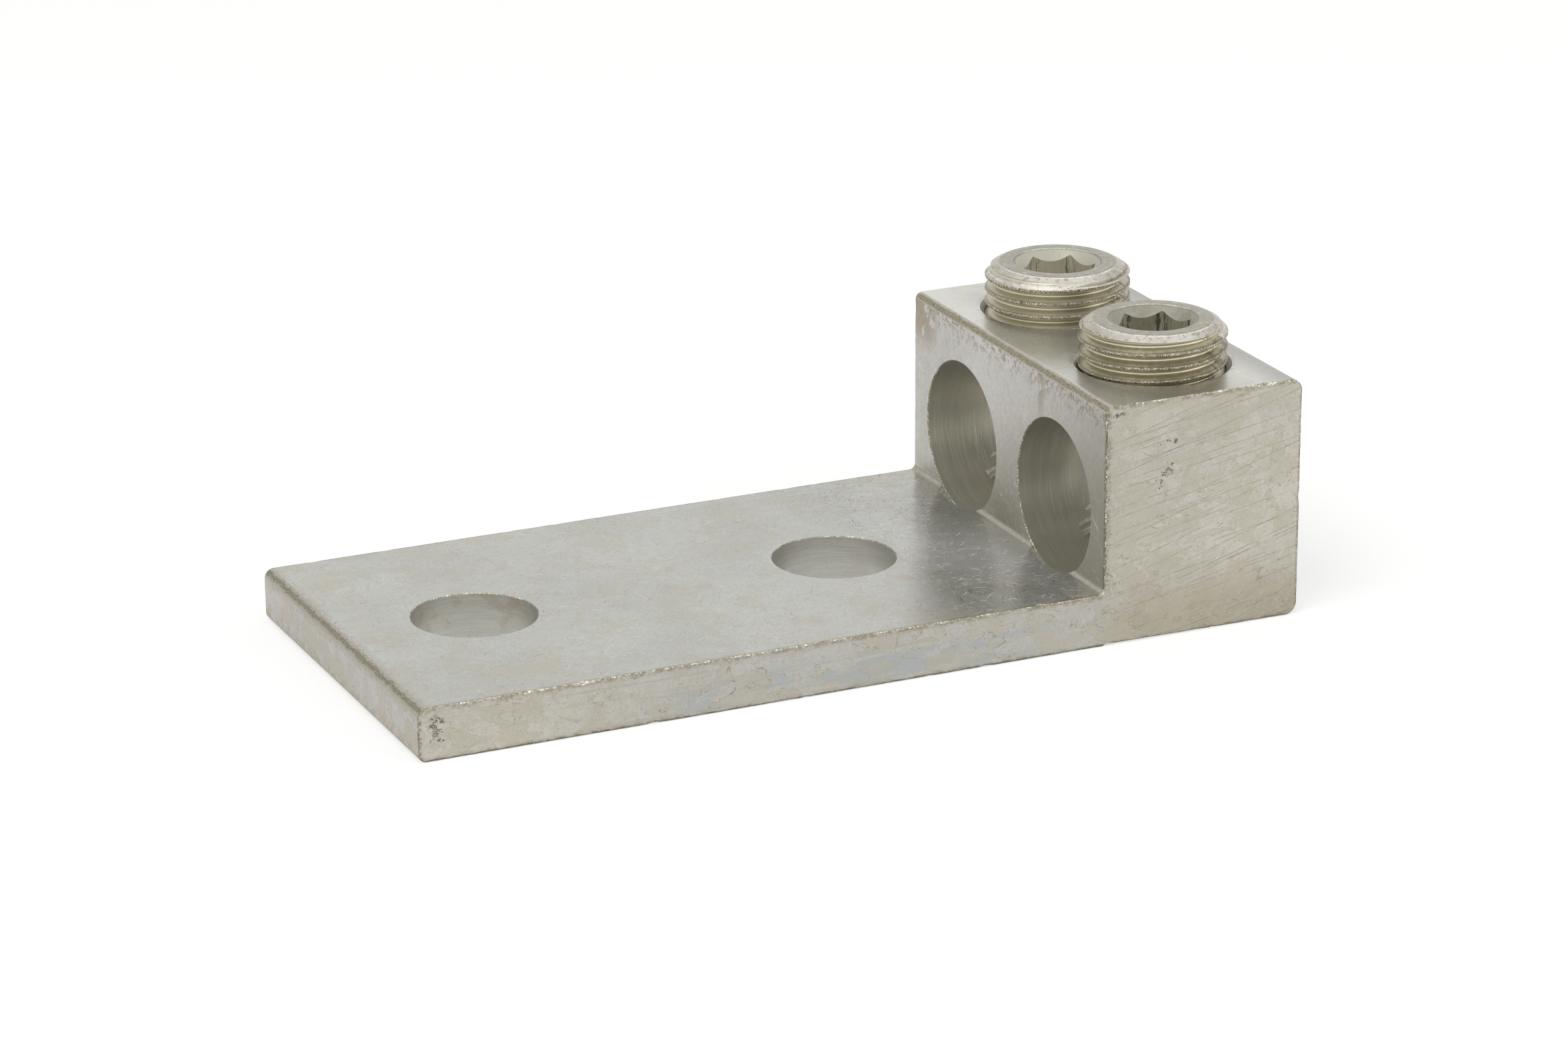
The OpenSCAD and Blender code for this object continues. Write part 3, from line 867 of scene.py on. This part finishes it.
def wire_bore_wall():
    g = Graph("tin_wire_bore_wall", 0.62)
    rings = g.noise(13, 2, 0.7, at=g.warp((1, 0.012, 0.012)))
    broad = g.noise(1, 2, at=g.warp((1, 0.03, 0.03)))
    g.colour = g.fade(broad, 0.3, 0.7, (0.53, 0.515, 0.435), (0.58, 0.565, 0.485))
    g.paint((0.32, 0.31, 0.245), g.step(rings, 0.46, 0.3, 0, 0.45))
    keep = g.step(g.noise(0.9, 2, at=g.warp((0.6, 0.2, 0.2))), 0.35, 0.6, 0.3, 0.75)
    g.paint((0.92, 0.9, 0.82), g.step(rings, 0.57, 0.66), keep)
    # painted highlight: a broad bright band at mid height, deeper in the bores
    g.paint((0.9, 0.88, 0.77), g.near(g.z, 15.2, 6), g.step(g.x, XF + 3, XF + 8, 0.3, 1), 0.9)
    # painted shade: the near bore is darker than the far one
    g.paint((0.36, 0.35, 0.29), g.step(g.y, 0.5, -0.5, 0, 0.3))
    # a painted highlight: a soft light streak that leans back with height, deeper in the far bore
    depth = g.sub(g.x, g.step(g.y, -0.5, 0.5, XF + 7.2, XF + 8.6))
    lean = g.sub(depth, g.mul(g.sub(g.z, 13), 0.26))
    highlight_streak = g.mul(g.near(lean, 0, 2.2), g.near(g.z, 14.6, 4.6))
    g.paint((0.97, 0.95, 0.85), highlight_streak, g.step(rings, 0.3, 0.6, 0.55, 0.9))
    # painted shade towards the top and towards the bottom of the bores
    g.paint((0.34, 0.33, 0.28), g.step(g.z, 16.5, 21, 0, 0.45))
    g.paint((0.4, 0.375, 0.285), g.step(g.z, 10.5, 6.5, 0, 0.3))
    specks(g, (0.2, 0.19, 0.14), (0.8, 0.79, 0.71), 0.35, 6)
    # painted highlight along the bores' mouths by the front face
    g.paint((0.86, 0.84, 0.74), g.step(g.x, XF + 0.3, XF - 0.02), g.patchy(2.6, 3, 0.7, 0.4, 0.55), 0.7)
    return g.done(0.32, rings, 0.012)


def tapped_wall():
    g = Graph("tin_tapped_wall", 0.7)
    n = g.noise(1.5, 3, 0.6)
    far = crest_distance(g, thread_phase(g))
    crest = g.fade(n, 0.35, 0.65, (0.56, 0.545, 0.47), (0.68, 0.665, 0.59))
    g.colour = g.fade(far, 0.1, 0.2, crest, (0.37, 0.35, 0.285))
    g.paint((0.5, 0.48, 0.41), g.step(far, 0.3, 0.38))
    return g.done(0.4, g.noise(4, 2), 0.02)


def screw_thread():
    g = Graph("tin_screw_thread", 0.82)
    n = g.noise(1.4, 4, 0.65, at=g.warp((1, 1, 2)))
    phase = thread_phase(g)
    # painted shade: the flank that looks up is darker than the rest of the thread
    up = g.step(phase, 0.46, 0.12)
    flank = g.fade(n, 0.35, 0.65, (0.48, 0.44, 0.3), (0.56, 0.52, 0.375))
    g.colour = g.mix(up, flank, g.fade(n, 0.35, 0.65, (0.245, 0.215, 0.13), (0.33, 0.295, 0.195)))
    # painted shade on the flank that looks down
    g.paint((0.35, 0.32, 0.23), g.step(phase, 0.56, 0.68), g.step(phase, 0.9, 0.84))
    # painted highlight along the root, brightest on the side that faces the camera
    g.paint((0.95, 0.92, 0.79), g.near(phase, 0.5, 0.065), g.step(facing_of(g), 0.25, 0.95, 0.15, 0.9))
    # painted light: the far screw's thread is lighter, with less painted shade on its upper flanks
    g.paint(g.mix(up, (0.6, 0.57, 0.44), (0.46, 0.43, 0.32)), g.step(g.y, 0, 2), 0.55)
    grit = g.noise(5.2, 4, 0.78)
    edge = g.mul(g.sub(g.noise(2.6, 3, 0.7), 0.5), 0.1)
    far = crest_distance(g, phase)
    crest = g.step(g.add(far, edge), 0.125, 0.09)
    # painted shade: a dark line along each side of the crests
    g.paint((0.13, 0.115, 0.075), g.near(g.add(far, edge), 0.145, 0.04), 0.75)
    # painted reflection of dark surroundings, on the rear side of each screw
    dark_reflection = g.noise(0.7, 5, 0.7, 0.5, at=g.warp((1, 1, 1.6), loc=(3, 1, 7)))
    g.paint((0.12, 0.1, 0.065), g.step(dark_reflection, 0.5, 0.57), g.step(g.x, SX + 0.5, SX + 4.5), 0.75)
    dull = g.fade(n, 0.4, 0.6, (0.15, 0.13, 0.085), (0.29, 0.26, 0.185))
    g.paint(g.fade(grit, 0.47, 0.61, dull, (0.74, 0.7, 0.58)), crest)
    return g.done(g.step(crest, 0, 1, 0.33, 0.42), g.mul(grit, g.add(0.05, crest)), 0.05)


def screw_top():
    g = Graph("tin_screw_top", 0.85)
    r = radius_of(g)
    rings = g.noise(5, 2, 0.6, at=g.node("CombineXYZ", X=r).outputs[0])
    ring_flat = g.fade(rings, 0.3, 0.7, (0.325, 0.3, 0.24), (0.38, 0.355, 0.29))
    bevel = g.fade(rings, 0.3, 0.7, (0.46, 0.435, 0.375), (0.53, 0.505, 0.44))
    wave = g.add(r, g.mul(g.sub(g.noise(2, 3, 0.7), 0.5), 0.22))
    facing = facing_of(g)
    # painted highlight: the bevel is lighter on the side that faces the camera
    bevel = g.mix(g.mul(g.step(facing, 0.55, 0.98), 0.85), bevel, (0.74, 0.715, 0.65))
    g.colour = g.fade(wave, 6.84, 7.06, ring_flat, bevel)
    n = g.noise(1.1, 5, 0.7)
    g.paint((0.27, 0.235, 0.185), g.step(n, 0.5, 0.66, 0, 0.75))
    g.paint((0.58, 0.56, 0.51), g.step(n, 0.46, 0.32, 0, 0.75))
    stains(g, (0.4, 0.36, 0.29), (0.2, 0.17, 0.12), 0.56, 0.5, 8, 0.5)
    dots = specks(g, (0.2, 0.18, 0.14), (0.8, 0.79, 0.74), 0.9, 4)
    # painted highlights: a broken bright line along the flat's outer edge on the camera's side, and light
    # grains along the shoulder
    line = g.mul(g.near(wave, 6.95, 0.15), g.step(facing, 0.1, 0.7), g.patchy(1.4, 3, 0.7, 0.38, 0.5))
    g.paint((0.97, 0.95, 0.9), line, 0.9)
    g.paint((0.86, 0.84, 0.78), g.near(r, 8.15, 0.22), g.patchy(3.6, 3, 0.7, 0.48, 0.6))
    # painted shade darkens the mouth's rim on its left and right sides, and a painted highlight lights its
    # far lip
    rim = g.near(r, 5.16, 0.14)
    g.paint((0.17, 0.15, 0.105), rim, g.step(facing, 0.1, 0.7, 0.85, 0.3), g.step(facing, -0.95, -0.6))
    far_lip_highlight = g.mul(g.near(r, 5.2, 0.2), g.step(facing, -0.5, -0.85))
    g.paint((0.97, 0.95, 0.9), far_lip_highlight, g.patchy(2.2, 3, 0.7, 0.4, 0.56, 0.25, 1))
    return g.done(0.33, g.add(g.mul(dots, 0.8), n), 0.015)


def hex_socket():
    g = Graph("tin_hex_socket", 0.65)
    r, corner = radius_of(g), corner_angle(g)
    n = g.noise(0.8, 4, 0.6, at=g.warp((1, 1, 0.35)))
    g.colour = g.fade(n, 0.35, 0.65, (0.5, 0.485, 0.39), (0.62, 0.605, 0.49))
    # painted light: the far screw's socket is lighter than the near one's
    g.paint((0.735, 0.71, 0.605), g.step(g.y, -0.1, 0.1), 0.9)
    # painted shade gathers in the socket's corners as dark patches and a dark line beside each corner;
    # painted highlights are the light streaks there and a light line at each corner
    by_corner = g.step(corner, 13, 6)
    wall = g.mul(g.step(r, 4.8, 4.6), g.step(r, 3.8, 3.95))
    deep = g.mul(wall, g.add(0.12, g.mul(by_corner, 0.88)), g.step(g.y, -0.1, 0.1, 1, 0.65))
    dark = g.step(g.noise(0.9, 4, 0.7, at=g.warp((2.4, 2.4, 0.5), loc=(5, 2, 0))), 0.49, 0.55)
    burr_glint = g.noise(1.3, 2, 0.6, at=g.warp((3, 3, 0.35), loc=(1, 8, 0)))
    g.paint((0.85, 0.83, 0.72), g.step(burr_glint, 0.58, 0.66), deep, 0.5)
    g.paint((0.1, 0.085, 0.055), dark, deep, 0.9)
    g.paint((0.13, 0.11, 0.07), g.near(corner, 5.5, 1.1), g.patchy(1.1, 3, 0.7, 0.42, 0.52), wall, 0.85)
    g.paint((0.9, 0.88, 0.78), g.step(corner, 3.2, 1.6), wall, 0.45)
    g.paint((0.3, 0.26, 0.19), g.dashes(60, "XY", (2.6, 1.3), 0.5, 0.04, 0.72, 3), 0.5)
    return g.done(0.27, n, 0.02)


def socket_mouth():
    g = Graph("tin_socket_mouth", 0.45)
    n = g.noise(0.9, 4, 0.6)
    g.colour = g.fade(n, 0.35, 0.65, (0.325, 0.31, 0.25), (0.385, 0.37, 0.305))
    # painted light: the far screw's mouth is lighter than the near one's
    g.paint((0.52, 0.51, 0.42), g.step(g.y, -0.1, 0.1), 0.9)
    g.paint((0.2, 0.17, 0.11), g.dashes(60, "XY", (2.6, 1.3), 0.6, 0.05, 0.7, 3), 0.6)
    g.paint((0.24, 0.215, 0.165), g.near(radius_of(g), 5.03, 0.1), 0.7)
    specks(g, (0.18, 0.16, 0.11), (0.66, 0.65, 0.58), 0.5, 9)
    return g.done(0.55, n, 0.01)


def screw_tip():
    g = Graph("tin_screw_tip", 0.9)
    n = g.noise(0.9, 4, 0.6)
    g.colour = g.fade(n, 0.35, 0.65, (0.42, 0.4, 0.34), (0.53, 0.51, 0.45))
    return g.done(0.32, g.noise(3, 3), 0.02)


MATS = {
    "tongue": tin_skin("tin_tongue", (0.485, 0.485, 0.45), 1, beige=(0.46, 0.44, 0.345), rough=0.18,
                       stain=0.85, scratch=1.15, metallic=0.62, extra=tongue_extra, nick=1, speck=1.4,
                       level=0.54),
    "top": tin_skin("tin_block_top", (0.625, 0.615, 0.56), 5, rough=0.22, stain=0.35, metallic=0.78,
                    extra=top_extra),
    "front": tin_skin("tin_block_front", (0.575, 0.56, 0.53), 9, rough=0.42, stain=0.25, plane="YZ",
                      scratch=0.3, extra=front_extra, level=0.6),
    "rear": tin_skin("tin_block_rear", (0.48, 0.47, 0.44), 13, stain=0.4, plane="YZ", scratch=0.4),
    "end": tin_skin("tin_tongue_end", (0.49, 0.475, 0.45), 17, stain=0.5, plane="YZ", scratch=0.2,
                    extra=end_extra),
    "under": tin_skin("tin_contact_face", (0.47, 0.47, 0.44), 23, rough=0.3, stain=0.5, scratch=0.7),
    "side": tin_skin("tin_sawn_side", (0.56, 0.535, 0.475), 27, beige=(0.5, 0.465, 0.36), plane="XZ",
                     scratch=0.2, extra=side_extra),
    "round": rounded_edges(),
    "edge": burred_edge(),
    "hole": bolt_hole_wall(),
    "bore": wire_bore_wall(),
    "thread": tapped_wall(),
    "screw_thread": screw_thread(),
    "screw_top": screw_top(),
    "socket": hex_socket(),
    "socket_mouth": socket_mouth(),
    "screw_tip": screw_tip(),
}

lug = build_lug()
names, kind = sort_faces(lug)


def lug_normals(me, loops, pos, owner):
    """Exact normals for the corners of the flats, the bolt holes' walls and the wire bores' walls."""
    k, fn = kind[owner], face_arrays(me)[1][owner]
    flat = np.isin(k, [names.index(a) for a in ("side", "tongue", "front", "top", "rear", "end", "under")])
    loops[flat] = fn[flat]
    x, y, z = pos.T
    to_hole = np.c_[np.where(x < 0, *HOLES) - x, -y, 0 * z]
    to_bore = np.c_[0 * x, np.where(y < 0, *BORE_Y) - y, BORE_Z - z]
    for name, v, along, limit in (("hole", to_hole, 2, 0.1), ("bore", to_bore, 0, 0.05)):
        wall = (k == names.index(name)) & (abs(fn[:, along]) < limit)
        v /= np.maximum(np.linalg.norm(v, axis=1, keepdims=True), TINY)
        loops[wall] = v[wall]


shade(lug, 32, lug_normals)
finish_piece(lug, "lug_shell", "lug_body", "lug")

for y, side in zip(BORE_Y, ("right", "left")):
    screw = build_screw(y)
    sort_screw(screw, y)
    shade(screw, 38)
    finish_piece(screw, side + "_screw", side + "_set_screw", side + "_screw")


# ---------------- stage, light, camera
# The photograph's camera: its angles, its place in metres, its focal length in the photograph's pixels
AZIMUTH, ELEVATION, ROLL = np.radians((-24.608, 19.478, -0.275))
PLACE = (-0.22490, -0.52575, 0.21589)
FOCAL_PX, PHOTO_PX, SENSOR = 8057, 2352, 36.0
FLOOR_SIZE, FLOOR_Z = 6000, -0.02
FLOOR_TONE, FLOOR_GLOW, SKY_LIGHT = (0.62, 0.62, 0.61, 1), 0.53, 0.55
WHITE = (1, 1, 1, 1)


def straight_ray(t):
    """1 for camera, glossy and transmission rays, 0 for scattered light."""
    path = t.nodes.new("ShaderNodeLightPath")
    ray = path.outputs["Is Camera Ray"]
    for name in ("Is Glossy Ray", "Is Transmission Ray"):
        most = t.nodes.new("ShaderNodeMath")
        most.operation = "MAXIMUM"
        t.links.new(ray, most.inputs[0])
        t.links.new(path.outputs[name], most.inputs[1])
        ray = most.outputs[0]
    return ray


def stage_floor():
    corners = [(x * FLOOR_SIZE, y * FLOOR_SIZE, FLOOR_Z) for x, y in ((-1, -1), (1, -1), (1, 1), (-1, 1))]
    ob = make("floor", corners, [(0, 1, 2, 3)])
    ob.data.transform(Matrix.Scale(MM, 4))
    mat = bpy.data.materials.new("pale_floor")
    t = empty_tree(mat)
    kinds = ("OutputMaterial", "BsdfDiffuse", "Emission", "AddShader", "Math")
    out, matt, glow, both, level = [t.nodes.new("ShaderNode" + kind) for kind in kinds]
    matt.inputs[0].default_value = FLOOR_TONE
    glow.inputs[0].default_value = WHITE
    level.operation = "MULTIPLY"
    level.inputs[1].default_value = FLOOR_GLOW
    for a, b in ((straight_ray(t), level.inputs[0]), (level.outputs[0], glow.inputs[1]),
                 (matt.outputs[0], both.inputs[0]), (glow.outputs[0], both.inputs[1]),
                 (both.outputs[0], out.inputs[0])):
        t.links.new(a, b)
    ob.data.materials.append(mat)


def sky():
    """White to the camera and in reflections, dimmer as a source of light."""
    world = bpy.data.worlds.new("studio")
    bpy.context.scene.world = world
    t = empty_tree(world)
    kinds = ("OutputWorld", "Background", "MapRange")
    out, back, level = [t.nodes.new("ShaderNode" + kind) for kind in kinds]
    back.inputs[0].default_value = WHITE
    level.inputs["To Min"].default_value = SKY_LIGHT
    level.inputs["To Max"].default_value = 1.0
    t.links.new(straight_ray(t), level.inputs["Value"])
    t.links.new(level.outputs[0], back.inputs[1])
    t.links.new(back.outputs[0], out.inputs[0])


def lamp(name, place, aim, size, power):
    data = bpy.data.lights.new(name, "AREA")
    data.shape = "RECTANGLE"
    data.size, data.size_y = size
    data.energy = power
    ob = bpy.data.objects.new(name, data)
    bpy.context.scene.collection.objects.link(ob)
    ob.location = place
    ob.rotation_euler = (Vector(aim) - Vector(place)).to_track_quat("-Z", "Y").to_euler()


def add_camera():
    a, e = AZIMUTH, ELEVATION
    back = Vector((math.sin(a) * math.cos(e), -math.cos(a) * math.cos(e), math.sin(e)))
    level = Vector((math.cos(a), math.sin(a), 0))
    right = level * math.cos(ROLL) + back.cross(level) * math.sin(ROLL)
    data = bpy.data.cameras.new("camera")
    data.sensor_fit, data.sensor_width = "HORIZONTAL", SENSOR
    data.lens = FOCAL_PX / PHOTO_PX * SENSOR
    data.clip_start, data.clip_end = 0.01, 20
    cam = bpy.data.objects.new("camera", data)
    bpy.context.scene.collection.objects.link(cam)
    m = Matrix((right, back.cross(right), back)).transposed().to_4x4()
    m.translation = Vector(PLACE)
    cam.matrix_world = m
    bpy.context.scene.camera = cam


stage_floor()
sky()
lamp("key", (-0.55, -0.35, 0.95), (0.02, 0, 0), (0.7, 0.7), 4.0)
lamp("fill", (0.75, -0.55, 0.55), (0.02, 0, 0.01), (0.6, 0.6), 1.6)
add_camera()
bpy.context.scene.view_settings.view_transform = "Standard"
